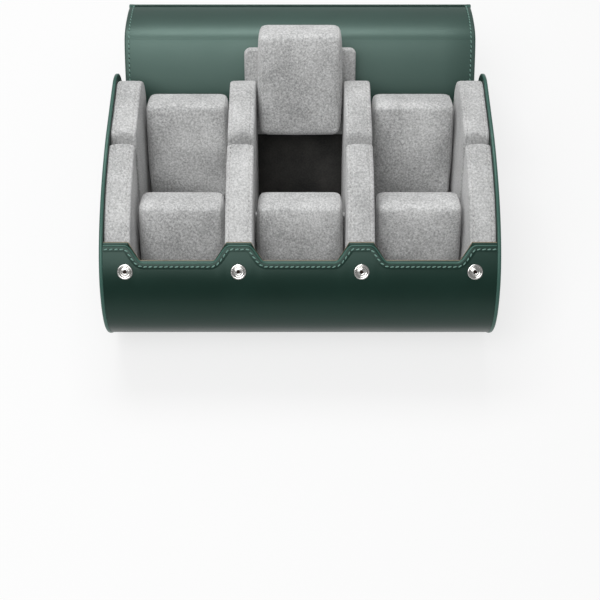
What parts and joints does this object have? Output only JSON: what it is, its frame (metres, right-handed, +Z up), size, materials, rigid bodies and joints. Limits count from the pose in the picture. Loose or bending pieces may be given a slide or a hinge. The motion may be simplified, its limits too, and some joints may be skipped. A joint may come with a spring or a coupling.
{
  "type": "watch travel case",
  "caption": "Leather travel case for watches: curved drum with a fold-back lid, snap studs, padded suede dividers and winged lift-out cushions.",
  "frame": {"origin": "middle of the flat base, on the surface it stands on", "axes": "+X to the right, +Y to the back where the lid folds, +Z up; the snap studs face -Y"},
  "size_m": [0.23, 0.2984, 0.1198],
  "materials": {
    "case_leather": "smooth bottle green leather, semi-gloss",
    "edge_leather": "folded leather edge, semi-gloss",
    "lid_leather": "smooth bottle green leather, semi-gloss",
    "fold_leather": "smooth bottle green leather, semi-gloss",
    "board": "grey-brown pressed board",
    "suede": "short grey suede",
    "cushion_suede": "short grey suede",
    "dark_lining": "dark flock",
    "foam": "cut foam",
    "nickel": "polished nickel"
  },
  "bodies": {
    "case": {"outer_leather": "case_leather", "shell_board": "board", "front_lining": "suede", "back_lining": "dark_lining", "tray_floor": "dark_lining", "back_rest": "dark_lining", "end_panel_left": "case_leather", "end_panel_right": "case_leather", "edge_binding_left": "edge_leather", "edge_binding_right": "edge_leather", "divider_front_1": "suede", "divider_front_2": "suede", "divider_front_3": "suede", "divider_front_4": "suede", "divider_back_1": "suede", "divider_back_2": "suede", "divider_back_3": "suede", "divider_back_4": "suede", "snap_studs": "nickel", "stud_rivets": "nickel"},
    "fold_1": {"fold_strip_1": "fold_leather"},
    "fold_2": {"fold_strip_2": "fold_leather"},
    "fold_3": {"fold_strip_3": "fold_leather"},
    "lid": {"lid_leather": "lid_leather", "lid_board": "board", "lid_lining": "lid_leather", "snap_caps": "nickel", "snap_sockets": "nickel"},
    "cushion_front_left": {"cushion_front_left": "cushion_suede", "core_front_left": "foam", "plate_front_left": "suede"},
    "cushion_front_middle": {"cushion_front_middle": "cushion_suede", "core_front_middle": "foam", "plate_front_middle": "suede"},
    "cushion_front_right": {"cushion_front_right": "cushion_suede", "core_front_right": "foam", "plate_front_right": "suede"},
    "cushion_back_left": {"cushion_back_left": "cushion_suede", "core_back_left": "foam", "plate_back_left": "suede"},
    "cushion_back_middle": {"cushion_back_middle": "cushion_suede", "core_back_middle": "foam", "plate_back_middle": "suede"},
    "cushion_back_right": {"cushion_back_right": "cushion_suede", "core_back_right": "foam", "plate_back_right": "suede"}
  },
  "joints": [
    {"name": "lid_fold_1", "type": "hinge", "parent": "case", "child": "fold_1", "pos_m": [0, 0.0784, 0.054], "axis": [-1, 0, 0], "range_deg": [-50.57, 0]},
    {"name": "lid_fold_2", "type": "hinge", "parent": "fold_1", "child": "fold_2", "pos_m": [0, 0.1016, 0.07976], "axis": [-1, 0, 0], "range_deg": [-74.65, 0]},
    {"name": "lid_fold_3", "type": "hinge", "parent": "fold_2", "child": "fold_3", "pos_m": [0, 0.11313, 0.08642], "axis": [-1, 0, 0], "range_deg": [-66.21, 0]},
    {"name": "lid_fold_4", "type": "hinge", "parent": "fold_3", "child": "lid", "pos_m": [0, 0.14211, 0.07866], "axis": [-1, 0, 0], "range_deg": [-50.58, 0]},
    {"name": "cushion_front_left_slide", "type": "slide", "parent": "case", "child": "cushion_front_left", "axis": [0, 0.5, 0.866], "range_m": [0, 0.095]},
    {"name": "cushion_front_middle_slide", "type": "slide", "parent": "case", "child": "cushion_front_middle", "axis": [0, 0.5, 0.866], "range_m": [0, 0.095]},
    {"name": "cushion_front_right_slide", "type": "slide", "parent": "case", "child": "cushion_front_right", "axis": [0, 0.5, 0.866], "range_m": [0, 0.095]},
    {"name": "cushion_back_left_slide", "type": "slide", "parent": "case", "child": "cushion_back_left", "axis": [0, 0.5, 0.866], "range_m": [0, 0.075]},
    {"name": "cushion_back_middle_slide", "type": "slide", "parent": "case", "child": "cushion_back_middle", "axis": [0, 0.5, 0.866], "range_m": [-0.04401, 0]},
    {"name": "cushion_back_right_slide", "type": "slide", "parent": "case", "child": "cushion_back_right", "axis": [0, 0.5, 0.866], "range_m": [0, 0.075]}
  ],
  "couplings": [
    {"joint": "lid_fold_2", "follows": "lid_fold_1", "ratio": 1.4762},
    {"joint": "lid_fold_3", "follows": "lid_fold_1", "ratio": 1.3094},
    {"joint": "lid_fold_4", "follows": "lid_fold_1", "ratio": 1.0002},
    {"joint": "cushion_back_middle_slide", "follows": "lid_fold_1", "m_per_rad": 0.049855}
  ]
}
